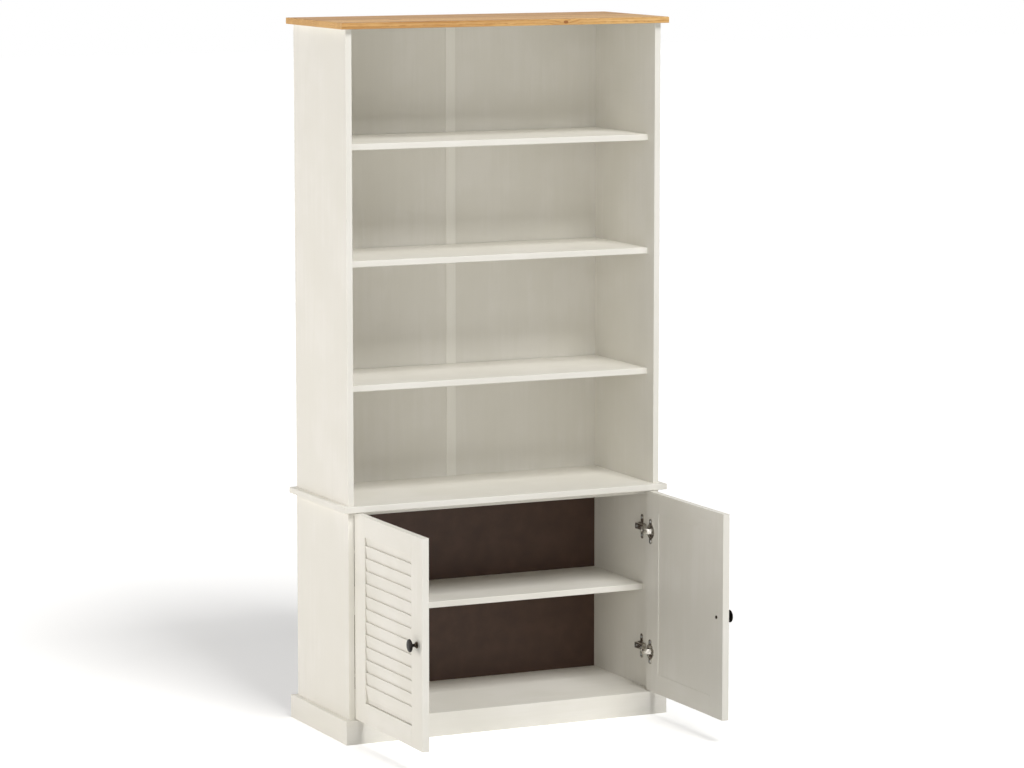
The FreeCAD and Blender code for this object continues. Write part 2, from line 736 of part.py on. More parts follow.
def slat_sketch(piece, x, z, grow):
    """The slanted section of a louvre slat, on the YZ plane at the given x and z of the door."""
    sketch = sketch_on(piece, "YZ_Plane", ("slat_y", z, x), "90 + slat_tilt")
    obround(sketch, "slat_half", "slat_thickness / 2 + " + grow)
    return sketch


def stile(name, x, inner_edge, into):
    """An upright of the door's frame: mortises, panel groove and a row of slat seats."""
    piece = door_board(name, (x, "0", "0"), ("stile_width", "door_thickness", "door_height"))
    ease(piece, lambda edge: straight(edge, FreeCAD.Vector(0, 0, 1)), "corner_ease")
    back = into < 0
    start = inner_edge + " - mortise_depth" if back else inner_edge
    for z in ("tenon_shoulder", "top_rail_z + tenon_shoulder"):
        notch(piece, (start, "tenon_y - joint_clear", z + " - joint_clear"),
              ("mortise_depth", "tenon_thickness + 2 * joint_clear", "tenon_height + 2 * joint_clear"))
    start = inner_edge + " - groove_depth" if back else inner_edge
    notch(piece, (start, "panel_y - groove_clear", "rail_width - groove_depth"),
          ("groove_depth", "panel_thickness + 2 * groove_clear", "field_height + 2 * groove_depth"))
    sketch = slat_sketch(piece, inner_edge, "first_slat_z", "slat_clear")
    seat = piece.newObject("PartDesign::Pocket", name + "_seat")
    seat.Profile = sketch
    bind(seat, "Length", "slat_seat")
    seat.Reversed = not back
    DOC.recompute()
    repeat(piece, seat, "slat_span", "slat_count")
    return piece


def rail(name, z, groove_z):
    """A cross piece of the door's frame, with a tenon at each end and a groove for the panel."""
    piece = door_board(name, ("stile_width", "0", z), ("rail_length", "door_thickness", "rail_width"))
    ease(piece, lambda edge: straight(edge, FreeCAD.Vector(1, 0, 0)), "corner_ease")
    for x in ("stile_width - tenon_length", "stile_width + rail_length"):
        primitive(piece, "AdditiveBox", (x, "tenon_y", z + " + tenon_shoulder"),
                  {"Length": "tenon_length", "Width": "tenon_thickness", "Height": "tenon_height"})
    notch(piece, ("stile_width", "panel_y - groove_clear", groove_z),
          ("rail_length", "panel_thickness + 2 * groove_clear", "groove_depth"))
    return piece


def top_rail():
    """The upper rail, with a seat along its lower edge for the highest slat."""
    piece = rail("left_door_top_rail", "top_rail_z", "top_rail_z")
    sketch = slat_sketch(piece, "stile_width", "first_slat_z + slat_span", "slat_clear")
    seat = piece.newObject("PartDesign::Pocket", "top_rail_seat")
    seat.Profile = sketch
    bind(seat, "Length", "rail_length")
    seat.Reversed = True
    DOC.recompute()
    return piece


def louvres():
    """The slats, each a long obround bar that slants out towards its lower edge."""
    piece = door_frame(body("louvre_slats"))
    piece.AllowCompound = True
    sketch = slat_sketch(piece, "stile_width - slat_seat + slat_clear", "first_slat_z", "0")
    pad = piece.newObject("PartDesign::Pad", "louvre_pad")
    pad.Profile = sketch
    bind(pad, "Length", "slat_length")
    DOC.recompute()
    repeat(piece, pad, "slat_span", "slat_count")
    return piece


def knob():
    """A turned knob: a domed foot, a waisted neck and a flattened round head."""
    piece = door_frame(body("knob"))
    spot = ("knob_x", "0", "knob_rise")
    primitive(piece, "AdditiveCylinder", spot, {"Radius": "knob_foot_radius", "Height": "knob_foot_height"},
              BACK_ALONG_Y)

    def foot_rim(edge):
        return edge.Curve.TypeId == "Part::GeomCircle" and edge.CenterOfMass.y < -0.01

    ease(piece, foot_rim, "knob_foot_height * 0.8")
    primitive(piece, "AdditiveCone", spot,
              {"Radius1": "knob_neck_radius * 1.3", "Radius2": "knob_neck_radius", "Height": "knob_head_y"},
              BACK_ALONG_Y)
    head = primitive(piece, "AdditiveEllipsoid", ("knob_x", "- knob_head_y", "knob_rise"),
                     {"Radius1": "knob_head_height / 2", "Radius2": "knob_radius", "Radius3": "knob_radius"},
                     BACK_ALONG_Y)
    drill(piece, spot, "knob_screw_radius + joint_clear", "knob_screw_depth", BACK_ALONG_Y)
    return piece, head


def knob_screw():
    """The knob's machine screw, through the stile from its inner face."""
    piece = door_frame(body("knob_screw"))
    primitive(piece, "AdditiveCylinder", ("knob_x", "- knob_screw_depth", "knob_rise"),
              {"Radius": "knob_screw_radius", "Height": "knob_screw_depth + door_thickness"}, ALONG_Y)
    primitive(piece, "AdditiveCylinder", ("knob_x", "door_thickness", "knob_rise"),
              {"Radius": "knob_screw_head_radius", "Height": "knob_screw_head_height"}, ALONG_Y)

    def rim(edge):
        face = cell("door_thickness") + 0.01
        return edge.Curve.TypeId == "Part::GeomCircle" and edge.CenterOfMass.y > face

    ease(piece, rim, "knob_screw_head_height / 2", "Chamfer")
    return piece


def cup(z):
    """A hinge cup in the door's inner face, with its long screw flange."""
    piece = door_frame(body("hinge_cup"))
    x = "cup_edge_distance"
    primitive(piece, "AdditiveCylinder", (x, "cup_floor_y", z),
              {"Radius": "cup_radius", "Height": "cup_depth"}, ALONG_Y)
    primitive(piece, "AdditiveCylinder", (x, "door_thickness", z),
              {"Radius": "flange_radius", "Height": "flange_thickness"}, ALONG_Y)
    primitive(piece, "AdditiveBox", (x + " - flange_width / 2", "door_thickness", z + " - flange_length / 2"),
              {"Length": "flange_width", "Width": "flange_thickness", "Height": "flange_length"})

    def corner(edge):
        tall = abs(edge.CenterOfMass.z - cell_of(z)) > cell("flange_length") / 2 - 0.01
        return tall and straight(edge, FreeCAD.Vector(0, 1, 0))

    ease(piece, corner, "flange_width / 2.5")
    drill(piece, (x, "door_thickness - cup_shoulder_drop", z), "cup_radius - cup_wall", "cup_depth", ALONG_Y)
    notch(piece, (x + " - cup_pocket_length / 2", "cup_floor_y + cup_wall", z + " - cup_pocket_width / 2"),
          ("cup_pocket_length", "door_thickness", "cup_pocket_width"))
    # blind slots in the pocket's side walls, from the pin's open position out through the mouth
    low = z + " - guide_height / 2 - guide_clear"
    tall = "guide_height + 2 * guide_clear"
    drill(piece, ("tip_along", "tip_depth", low), "guide_half", tall)
    slot = notch(piece, ("guide_start_x", "guide_start_y", low), ("cup_depth", "2 * guide_half", tall))
    bind(slot, "Placement.Rotation.Angle", "guide_angle")
    for way in ("- cup_screw_spacing / 2", "+ cup_screw_spacing / 2"):
        drill(piece, (x, "door_thickness", z + " " + way), "screw_bore", "flange_thickness", ALONG_Y)
    return piece


def cup_screws(z):
    """The two screws of one cup's flange."""
    screws = []
    for way in ("- cup_screw_spacing / 2", "+ cup_screw_spacing / 2"):
        piece = door_frame(body("cup_screw"))
        spot = ("cup_edge_distance", "door_thickness + flange_thickness", z + " " + way)
        primitive(piece, "AdditiveCylinder", spot,
                  {"Radius": "screw_radius", "Height": "door_thickness - cup_wall"}, BACK_ALONG_Y)
        primitive(piece, "AdditiveCylinder", spot,
                  {"Radius": "screw_head_radius", "Height": "screw_head_height"}, ALONG_Y)
        screws.append(piece)
    return screws


def doors():
    """The left door in its pieces, and the right one as its mirror image."""
    hinge_stile = stile("left_door_hinge_stile", "0", "stile_width", -1)
    free_stile = stile("left_door_free_stile", "free_stile_x", "free_stile_x", 1)
    for z in ("low_hinge_z", "high_hinge_z"):
        drill(hinge_stile, ("cup_edge_distance", "cup_floor_y", z), "cup_bore", "cup_depth", ALONG_Y)
        for way in ("- cup_screw_spacing / 2", "+ cup_screw_spacing / 2"):
            drill(hinge_stile, ("cup_edge_distance", "door_thickness", z + " " + way), "screw_bore",
                  "door_thickness - cup_wall - flange_thickness", BACK_ALONG_Y)
    drill(free_stile, ("knob_x", "0", "knob_rise"), "knob_screw_radius + joint_clear", "door_thickness",
          ALONG_Y)
    both_sides(hinge_stile, "left_door_hinge_stile")
    both_sides(free_stile, "left_door_free_stile")
    both_sides(top_rail(), "left_door_top_rail")
    both_sides(rail("left_door_bottom_rail", "0", "rail_width - groove_depth"), "left_door_bottom_rail")
    both_sides(louvres(), "left_door_louvre_slats")
    panel = door_board("left_door_panel",
                       ("stile_width - panel_reach", "panel_y", "rail_width - panel_reach"),
                       ("rail_length + 2 * panel_reach", "panel_thickness", "field_height + 2 * panel_reach"))
    both_sides(panel, "left_door_panel")
    both_sides(knob()[0], "left_door_knob")
    both_sides(knob_screw(), "left_door_knob_screw")
    cups = []
    screws = []
    for z in ("low_hinge_z", "high_hinge_z"):
        cups.append(cup(z))
        screws += cup_screws(z)
    mirrored(group("left_hinge_cups", cups), "right_hinge_cups")
    mirrored(group("left_cup_screws", screws), "right_cup_screws")


def plate(z, lower):
    """A cross-shaped mounting plate on the inner face of the cupboard's side."""
    piece = body("hinge_plate")
    primitive(piece, "AdditiveBox", ("0", "- plate_width / 2", "- plate_length / 2"),
              {"Length": "plate_thickness", "Width": "plate_width", "Height": "plate_length"})
    primitive(piece, "AdditiveBox", ("0", "- plate_foot_length / 2", "- plate_foot_height / 2"),
              {"Length": "plate_thickness", "Width": "plate_foot_length", "Height": "plate_foot_height"})

    def outer(edge):
        return straight(edge, FreeCAD.Vector(1, 0, 0)) and (
            abs(edge.CenterOfMass.z) > cell("plate_length") / 2 - 0.01
            or abs(edge.CenterOfMass.y) > cell("plate_foot_length") / 2 - 0.01)

    ease(piece, outer, "plate_width / 2.5")
    block = "arm_channel_height - 2 * arm_channel_wall - 2 * link_gap"
    primitive(piece, "AdditiveBox", ("0", "- plate_foot_length / 2", "- ( " + block + " ) / 2"),
              {"Length": "plate_block_height", "Width": "plate_foot_length", "Height": block})
    place(piece, ("- side_inner", "plate_y", z))
    for way in ("- plate_screw_spacing / 2", "+ plate_screw_spacing / 2"):
        drill(piece, ("0", "0", way), "screw_bore", "plate_thickness", ALONG_X)
        drill(lower, ("board", "plate_line", z + " - base_top " + way), "screw_bore",
              "board / 2 + plate_thickness", BACK_ALONG_X)
    return piece


def plate_screws(z):
    """The two screws of one mounting plate."""
    screws = []
    for way in ("- plate_screw_spacing / 2", "+ plate_screw_spacing / 2"):
        piece = screw("plate_screw", ("plate_thickness - side_inner", "plate_y", z + " " + way),
                      "board / 2 + plate_thickness", BACK_ALONG_X)
        screws.append(piece)
    return screws


def block(name, corner, size):
    """A plain box whose corner and sides are bound to the sheet."""
    box = DOC.addObject("Part::Box", name)
    for prop, formula in zip(("Length", "Width", "Height"), size):
        bind(box, prop, formula)
    place(box, corner)
    return box


def join(name, members):
    """One solid from several that touch."""
    fused = DOC.addObject("Part::MultiFuse", name)
    fused.Shapes = members
    fused.Refine = True
    return fused


def cut(name, base, tool):
    """The base with the tool's shape taken out."""
    result = DOC.addObject("Part::Cut", name)
    result.Base = base
    result.Tool = tool
    return result


def hinge_arm(z):
    """The cranked arm: a channel over the plate's block and a nose that reaches to the link's pin."""
    run = "arm_back_y - arm_bend_y"
    outer = block("arm_outer", ("arm_front_x - arm_channel_depth", "arm_bend_y",
                                z + " - arm_channel_height / 2"),
                  ("arm_channel_depth + arm_channel_wall", run, "arm_channel_height"))
    inner = block("arm_inner", ("arm_front_x - arm_channel_depth", "arm_bend_y",
                                z + " - arm_channel_height / 2 + arm_channel_wall"),
                  ("arm_channel_depth", run, "arm_channel_height - 2 * arm_channel_wall"))
    low = z + " - arm_nose_height / 2"
    bar = block("arm_bar", ("nose_start_x", "nose_start_y", low),
                ("nose_length", "arm_wall", "arm_nose_height"))
    bind(bar, "Placement.Rotation.Angle", "nose_angle")
    knuckle = rod("arm_knuckle", ("arm_tip_x", "arm_tip_y", low), "arm_boss_radius", "arm_nose_height")
    bore = rod("arm_bore", ("arm_tip_x", "arm_tip_y", low), "link_pin_radius + link_pin_clear",
               "arm_nose_height")
    solid = join("arm_solid", [cut("arm_channel", outer, inner), bar, knuckle])
    return cut("hinge_arm", solid, bore)


def hinge_link(z):
    """The goose-necked link: two curved cheeks beside the arm's nose, a web and a pin at each end.

    It is drawn lying along X from the arm's pin and then turned to its place."""
    centre = ("link_chord / 2", "link_rise - link_radius", "0")
    ring = rod("link_ring", centre, "link_radius + link_wall / 2", "link_height")
    bind(ring, "Angle", "2 * link_half_sweep")
    bind(ring, "Placement.Rotation.Angle", "90deg - link_half_sweep")
    hollow = rod("link_hollow", centre, "link_radius - link_wall / 2", "link_height")
    ends = [rod("link_end", (x, "0", "0"), "link_wall / 2", "link_height") for x in ("0", "link_chord")]
    neck = join("link_neck", [cut("link_arc", ring, hollow)] + ends)
    gap = rod("link_gap", ("0", "0", "link_cheek"), "link_chord * link_web_share",
              "link_height - 2 * link_cheek")
    pins = [rod("link_pin", ("0", "0", "0"), "link_pin_radius", "link_height"),
            rod("guide_pin", ("link_chord", "0", "- guide_reach"), "link_pin_radius", "guide_height")]
    link = join("hinge_link", [cut("link_cheeks", neck, gap)] + pins)
    bind(link, "Placement.Rotation.Angle", "- link_open_angle")
    place(link, ("arm_tip_x", "arm_tip_y", z + " - link_height / 2"))
    return link


def hinges(lower):
    """Two concealed hinges on each door: plates and arms on the carcass, links between."""
    plates = []
    arms = []
    links = []
    screws = []
    for z in ("door_bottom + low_hinge_z", "door_bottom + high_hinge_z"):
        plates.append(plate(z, lower))
        screws += plate_screws(z)
        arms.append(hinge_arm(z))
        links.append(hinge_link(z))
    for label, members in (("left_hinge_plates", plates), ("left_hinge_arms", arms),
                           ("left_hinge_links", links), ("left_plate_screws", screws)):
        mirrored(group(label, members), label.replace("left", "right"))


def write_parts():
    """Checks every object and writes each kept piece as a STEP file."""
    DOC.recompute()
    for obj in DOC.Objects:
        if "Invalid" in obj.State or "Error" in obj.State:
            raise RuntimeError("failed object: " + obj.Label)
    os.makedirs("parts", exist_ok=True)
    total = 0
    for piece in PARTS:
        shape = piece.Shape
        if shape.isNull() or not shape.isValid() or not shape.Solids:
            raise RuntimeError("bad shape: " + piece.Label)
        total += len(shape.Solids)
        shape.exportStep("parts/%s.step" % piece.Label)
    print("nodes", len(PARTS), "solids", total)


fill_sheet()
UPPER_SIDE, LOWER_SIDE, BASE, DOWELS = carcass_boards()
group("carcass_dowels", DOWELS)
fixed_shelves(UPPER_SIDE)
cupboard_shelf(LOWER_SIDE)
stop_rail()
plinth(BASE)
backs(UPPER_SIDE, LOWER_SIDE)
hinges(LOWER_SIDE)
both_sides(UPPER_SIDE, "upper_side_left")
both_sides(LOWER_SIDE, "lower_side_left")
doors()
write_parts()
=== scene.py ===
import bpy
import math
from mathutils import Matrix, Vector


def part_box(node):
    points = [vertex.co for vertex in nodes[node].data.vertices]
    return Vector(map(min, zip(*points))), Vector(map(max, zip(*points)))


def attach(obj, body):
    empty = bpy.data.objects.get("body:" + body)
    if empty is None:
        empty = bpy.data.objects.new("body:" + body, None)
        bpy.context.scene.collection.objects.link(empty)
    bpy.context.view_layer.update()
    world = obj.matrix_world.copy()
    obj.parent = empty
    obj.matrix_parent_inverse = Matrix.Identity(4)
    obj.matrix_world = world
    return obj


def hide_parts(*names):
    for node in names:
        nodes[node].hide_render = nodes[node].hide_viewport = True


# A painted pine bookcase: open shelves with a honey pine top, over a cupboard whose two louvred
# doors stand open on concealed hinges. The scene is in metres with Z up. The front faces -Y, the
# left is -X, and the origin lies on the floor.

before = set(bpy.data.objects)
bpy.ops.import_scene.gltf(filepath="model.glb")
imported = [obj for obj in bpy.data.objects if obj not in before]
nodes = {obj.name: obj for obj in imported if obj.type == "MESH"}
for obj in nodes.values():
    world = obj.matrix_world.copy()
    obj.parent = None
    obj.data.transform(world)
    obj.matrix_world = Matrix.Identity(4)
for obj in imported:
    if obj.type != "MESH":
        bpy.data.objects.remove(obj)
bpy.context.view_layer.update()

HANDS = ("left", "right")

# Measures, all in millimetres. The first ones are read from the doors and sides that carry the
# fittings, and X values are counted outwards from the bookcase's middle.
MM = 0.001
stile_low, stile_high = (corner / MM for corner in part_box("left_door_hinge_stile"))
side_low, side_high = (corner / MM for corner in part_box("lower_side_left"))
DOOR_OUTER = -stile_low.x
DOOR_INNER = -stile_high.x
DOOR_BOTTOM = stile_low.z
HINGE_EDGE = stile_high.y
HINGE_STILE = stile_low.y
FREE_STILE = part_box("left_door_free_stile")[1].y / MM
SIDE_INNER = -side_high.x
SIDE_FRONT = side_low.y

# concealed hinges: 98 mm from the door's ends, the cup's middle 22 mm inside the door's edge
HINGE_HEIGHTS = (DOOR_BOTTOM + 98, stile_high.z - 98)
CUP_LINE = HINGE_EDGE - 22
CUP_FLANGE = 1.5
CUP_SCREW_STEP = 24
PLATE_LINE = SIDE_FRONT + 54
PLATE_THICKNESS = 2
PLATE_SCREW_STEP = 22
ARM_TOP = 10.6
ARM_SCREW_LINES = (-282, -257)

# knob: near the free edge, half-way up the door
KNOB_LINE = HINGE_EDGE - 361
KNOB_HEIGHT = DOOR_BOTTOM + 243.5

# louvres, tilted by a few degrees: the solids leave a gap over the bottom rail, which the scene's
# lowest slat closes to a fine seam
RAIL_WIDTH = 49
SLAT_GAP = 10.8
SLAT_SEAM = 0.8
SLAT_TILT = 8
LOWEST_SLAT = 34

# screws through the backs into the middle of the sides, and up through the plinth's glue blocks
BOARD = 15
BACK_SCREW_LINE = SIDE_INNER + BOARD / 2
UPPER_BACK_FACE = 1.5
UPPER_BACK_ROWS = [628.5 + 249.125 * step for step in range(5)]
LOWER_BACK_FACE = 0.5
LOWER_BACK_ROWS = (117.0, 305.25, 493.5)
BLOCK_SCREW_LINE = 395
BLOCK_SCREW_DEPTHS = (-310.5, -22.5)
BLOCK_FACE = 4.0


# Materials

def linear(code):
    """The linear colour of an sRGB hex code."""
    parts = [int(code[i:i + 2], 16) / 255 for i in (1, 3, 5)]
    return tuple(p / 12.92 if p <= 0.04045 else ((p + 0.055) / 1.055) ** 2.4 for p in parts) + (1,)


def add(tree, kind, settings=None, links=None):
    """Adds a node with its settings and links. A capitalised or numbered setting is an input's
    value, "stops" are a ramp's colours, and any other is a choice on the node itself."""
    node = tree.nodes.new("ShaderNode" + kind)
    for name, value in (settings or {}).items():
        if name == "stops":
            while len(node.color_ramp.elements) < len(value):
                node.color_ramp.elements.new(1.0)
            for element, (spot, colour) in zip(node.color_ramp.elements, value):
                element.position = spot
                element.color = linear(colour)
        elif isinstance(name, int) or name[0].isupper():
            node.inputs[name].default_value = value
        else:
            setattr(node, name, value)
    for name, source in (links or {}).items():
        tree.links.new(source, node.inputs[name])
    return node


def blank(name, settings):
    """A material with an empty shader, and the place on the piece that its patterns read."""
    material = bpy.data.materials.new(name)
    material.use_nodes = True
    tree = material.node_tree
    tree.nodes.clear()
    shader = add(tree, "BsdfPrincipled", settings)
    add(tree, "OutputMaterial", links={"Surface": shader.outputs["BSDF"]})
    place = add(tree, "TexCoord").outputs["Object"]
    return material, tree, shader, place


def painted_pine(name, run):
    """Satin cream paint over planed pine: an even coat that fills the wood's pores, so the grain is
    only a faint ripple along the board and a slightly uneven tone where the coat lies thinner."""
    material, tree, shader, place = blank(name, {"Roughness": 0.46, "IOR": 1.5})
    stretch = tuple(0.06 if axis == run else 1.0 for axis in "XYZ")
    along = add(tree, "Mapping", {"Scale": stretch}, {"Vector": place}).outputs[0]
    # growth rings show through as bands 8 to 25 mm wide
    bands = add(tree, "TexNoise", {"Scale": 55.0, "Detail": 3.0, "Roughness": 0.55,
                                   "Distortion": 0.4}, {"Vector": along}).outputs["Fac"]
    # raised fibres, 1.2 mm apart on the wood, drawn at 2 mm so that they show
    fibres = add(tree, "TexNoise", {"Scale": 480.0, "Detail": 2.0, "Roughness": 0.5},
                 {"Vector": along}).outputs["Fac"]
    # clouds of thinner paint, 150 mm across
    clouds = add(tree, "TexNoise", {"Scale": 6.5, "Detail": 2.0}, {"Vector": place}).outputs["Fac"]
    tone = add(tree, "Math", {"operation": "MULTIPLY_ADD", 1: 0.55},
               {0: bands, 2: clouds}).outputs[0]
    tone = add(tree, "Math", {"operation": "MULTIPLY_ADD", 1: 0.16},
               {0: fibres, 2: tone}).outputs[0]
    colour = add(tree, "ValToRGB", {"stops": [(0.5, "#e9e6dc"), (0.86, "#ece9e0"),
                                              (1.0, "#efece4")]}, {"Fac": tone}).outputs["Color"]
    tree.links.new(colour, shader.inputs["Base Color"])
    rough = add(tree, "MapRange", {"From Min": 0.3, "From Max": 0.7, "To Min": 0.41,
                                   "To Max": 0.52}, {"Value": bands}).outputs[0]
    tree.links.new(rough, shader.inputs["Roughness"])
    relief = add(tree, "Math", {"operation": "MULTIPLY_ADD", 1: 0.4},
                 {0: fibres, 2: bands}).outputs[0]
    bump = add(tree, "Bump", {"Strength": 0.16, "Distance": 0.0003}, {"Height": relief}).outputs[0]
    tree.links.new(bump, shader.inputs["Normal"])
    return material


# the top's knots: place on the board, the dark knot's own size, and how far it pushes the rings
# aside, all in metres
KNOTS = (
    ((0.150, -0.3355, 1.692), 0.0042, 0.018),
    ((-0.235, -0.210, 1.700), 0.011, 0.045),
    ((0.310, -0.060, 1.700), 0.008, 0.032),
    ((-0.040, -0.090, 1.700), 0.006, 0.026),
)
# the top is glued from three staves, and its front face shows the edge of one more log
STAVE = 0.1143
HALF_STAVE = 0.057
FRONT_STAVES = 2.935
TOP_UNDERSIDE = 1.68505


def nearest_knot(tree, place, column, stretch):
    """1 in the heart of the nearest knot, falling to 0 at the size in the KNOTS table's column, with
    the knot longer along the board by the stretch."""
    nearest = None
    for row in KNOTS:
        size = row[column]
        near = add(tree, "Mapping", {"vector_type": "TEXTURE", "Location": row[0],
                                     "Scale": (size * stretch, size, size)},
                   {"Vector": place}).outputs[0]
        ball = add(tree, "TexGradient", {"gradient_type": "SPHERICAL"},
                   {"Vector": near}).outputs["Fac"]
        nearest = ball if nearest is None else add(
            tree, "Math", {"operation": "MAXIMUM"}, {0: nearest, 1: ball}).outputs[0]
    return nearest


def honey_pine():
    """Edge-glued pine staves under a honey stain and satin lacquer: warm yellow-brown early wood,
    darker late-wood lines 3 to 6 mm apart that run along the board, a few small knots, and a soft
    sheen."""
    material, tree, shader, place = blank("honey_stained_pine", {"Roughness": 0.55, "IOR": 1.4})
    x, y, z = add(tree, "SeparateXYZ", links={0: place}).outputs
    # each stave is cut from another log, at a place of its own
    row = add(tree, "Math", {"operation": "MULTIPLY_ADD", 1: 1 / STAVE, 2: FRONT_STAVES},
              {0: y}).outputs[0]
    stave = add(tree, "Math", {"operation": "FLOOR"}, {0: row}).outputs[0]
    across = add(tree, "Math", {"operation": "SUBTRACT"}, {0: row, 1: stave}).outputs[0]
    log = add(tree, "TexWhiteNoise", {"noise_dimensions": "1D"}, {"W": stave}).outputs["Color"]
    down, onward = add(tree, "SeparateXYZ", links={0: log}).outputs[1:3]
    knots = nearest_knot(tree, place, 1, 1.7)
    wide = nearest_knot(tree, place, 2, 2.6)
    # the place in the log: its heart lies under the stave's middle, 45 to 90 mm below the face, and
    # the rings rise by up to 10 mm round a knot
    depth = add(tree, "Math", {"operation": "MULTIPLY_ADD", 1: 0.045, 2: -1.655},
                {0: down}).outputs[0]
    height = add(tree, "Math", {"operation": "ADD"}, {0: z, 1: depth}).outputs[0]
    height = add(tree, "Math", {"operation": "MULTIPLY_ADD", 1: 0.010},
                 {0: wide, 2: height}).outputs[0]
    centred = add(tree, "Math", {"operation": "MULTIPLY_ADD", 1: STAVE, 2: -HALF_STAVE},
                  {0: across}).outputs[0]
    length = add(tree, "Math", {"operation": "MULTIPLY_ADD", 1: 0.045},
                 {0: x, 2: onward}).outputs[0]
    in_log = add(tree, "CombineXYZ", links={0: length, 1: centred, 2: height}).outputs[0]
    rings = add(tree, "TexWave", {"wave_type": "RINGS", "rings_direction": "X",
                                  "wave_profile": "SAW", "Scale": 62.0, "Distortion": 5.5,
                                  "Detail": 2.0, "Detail Scale": 9.0, "Detail Roughness": 0.5},
                {"Vector": in_log}).outputs["Fac"]
    wood = add(tree, "ValToRGB", {"stops": [(0.0, "#e8c084"), (0.5, "#e2b573"), (0.82, "#cc9858"),
                                            (0.95, "#ab783d"), (1.0, "#d5a568")]},
               {"Fac": rings}).outputs[0]
    # broad bands of darker, denser wood, 30 to 80 mm across, that give the top its long stripes
    thin = add(tree, "Mapping", {"Scale": (0.03, 1.0, 1.0)}, {"Vector": place}).outputs[0]
    streaks = add(tree, "TexNoise", {"Scale": 21.0, "Detail": 3.0, "Roughness": 0.62},
                  {"Vector": thin}).outputs["Fac"]
    dark = add(tree, "MapRange", {"From Min": 0.46, "From Max": 0.6, "To Min": 0.0, "To Max": 0.8},
               {"Value": streaks}).outputs[0]
    # the sawn ends, 425 mm from the middle, are paler and plainer than the faces
    outwards = add(tree, "Math", {"operation": "ABSOLUTE"}, {0: x}).outputs[0]
    face = add(tree, "MapRange", {"From Min": 0.4243, "From Max": 0.4248, "To Min": 1.0,
                                  "To Max": 0.25}, {"Value": outwards}).outputs[0]
    dark = add(tree, "Math", {"operation": "MULTIPLY"}, {0: dark, 1: face}).outputs[0]
    wood = add(tree, "Mix", {"data_type": "RGBA", 7: linear("#a87239")},
               {0: dark, 6: wood}).outputs[2]
    # raised fibres, 1 mm apart, that darken the wood a little
    fibres = add(tree, "TexNoise", {"Scale": 900.0, "Detail": 2.0}, {"Vector": thin}).outputs["Fac"]
    grain = add(tree, "MapRange", {"From Min": 0.45, "From Max": 0.8, "To Min": 0.0,
                                   "To Max": 0.35}, {"Value": fibres}).outputs[0]
    wood = add(tree, "Mix", {"data_type": "RGBA", 7: linear("#a37038")},
               {0: grain, 6: wood}).outputs[2]
    heart = add(tree, "ValToRGB", {"stops": [(0.0, "#b47b42"), (0.35, "#8a5326"), (0.6, "#a06a38"),
                                             (1.0, "#7c4a22")]}, {"Fac": knots}).outputs[0]
    edge = add(tree, "MapRange", {"From Min": 0.02, "From Max": 0.22}, {"Value": knots}).outputs[0]
    wood = add(tree, "Mix", {"data_type": "RGBA"}, {0: edge, 6: wood, 7: heart}).outputs[2]
    # the underside, which roofs the highest space, has the carcass's cream paint
    under = add(tree, "Math", {"operation": "LESS_THAN", 1: TOP_UNDERSIDE}, {0: z}).outputs[0]
    wood = add(tree, "Mix", {"data_type": "RGBA", 7: linear("#ece9e0")},
               {0: under, 6: wood}).outputs[2]
    tree.links.new(wood, shader.inputs["Base Color"])
    bump = add(tree, "Bump", {"Strength": 0.25, "Distance": 0.0003}, {"Height": fibres}).outputs[0]
    tree.links.new(bump, shader.inputs["Normal"])
    return material


def plain_wood(name, light, dark, run):
    """Bare planed wood, such as a beech dowel or a pine block: matt, with darker pores along the
    grain, which are finer on the wood and drawn 2 mm apart so that they show."""
    material, tree, shader, place = blank(name, {"Roughness": 0.62, "IOR": 1.5})
    stretch = tuple(0.08 if axis == run else 1.0 for axis in "XYZ")
    along = add(tree, "Mapping", {"Scale": stretch}, {"Vector": place}).outputs[0]
    pores = add(tree, "TexNoise", {"Scale": 520.0, "Detail": 3.0}, {"Vector": along}).outputs["Fac"]
    colour = add(tree, "ValToRGB", {"stops": [(0.35, dark), (0.62, light)]},
                 {"Fac": pores}).outputs[0]
    tree.links.new(colour, shader.inputs["Base Color"])
    bump = add(tree, "Bump", {"Strength": 0.3, "Distance": 0.0003}, {"Height": pores}).outputs[0]
    tree.links.new(bump, shader.inputs["Normal"])
    return material


def hardboard():
    """Pressed wood fibre with a thin dark brown lacquer: near matt, mottled by fibre bundles 1 to
    4 mm long, with a trace of the felt's broader clouds."""
    material, tree, shader, place = blank("brown_lacquered_hardboard",
                                          {"Roughness": 0.55, "IOR": 1.5})
    flakes = add(tree, "TexNoise", {"Scale": 420.0, "Detail": 4.0, "Roughness": 0.65,
                                    "Distortion": 1.2}, {"Vector": place}).outputs["Fac"]
    felt = add(tree, "TexNoise", {"Scale": 22.0, "Detail": 3.0}, {"Vector": place}).outputs["Fac"]
    tone = add(tree, "Math", {"operation": "MULTIPLY_ADD", 1: 0.6},
               {0: flakes, 2: felt}).outputs[0]
    colour = add(tree, "ValToRGB", {"stops": [(0.5, "#412b20"), (0.8, "#483124"),
                                              (1.0, "#4e362a")]}, {"Fac": tone}).outputs[0]
    tree.links.new(colour, shader.inputs["Base Color"])
    bump = add(tree, "Bump", {"Strength": 0.3, "Distance": 0.0003}, {"Height": flakes}).outputs[0]
    tree.links.new(bump, shader.inputs["Normal"])
    return material


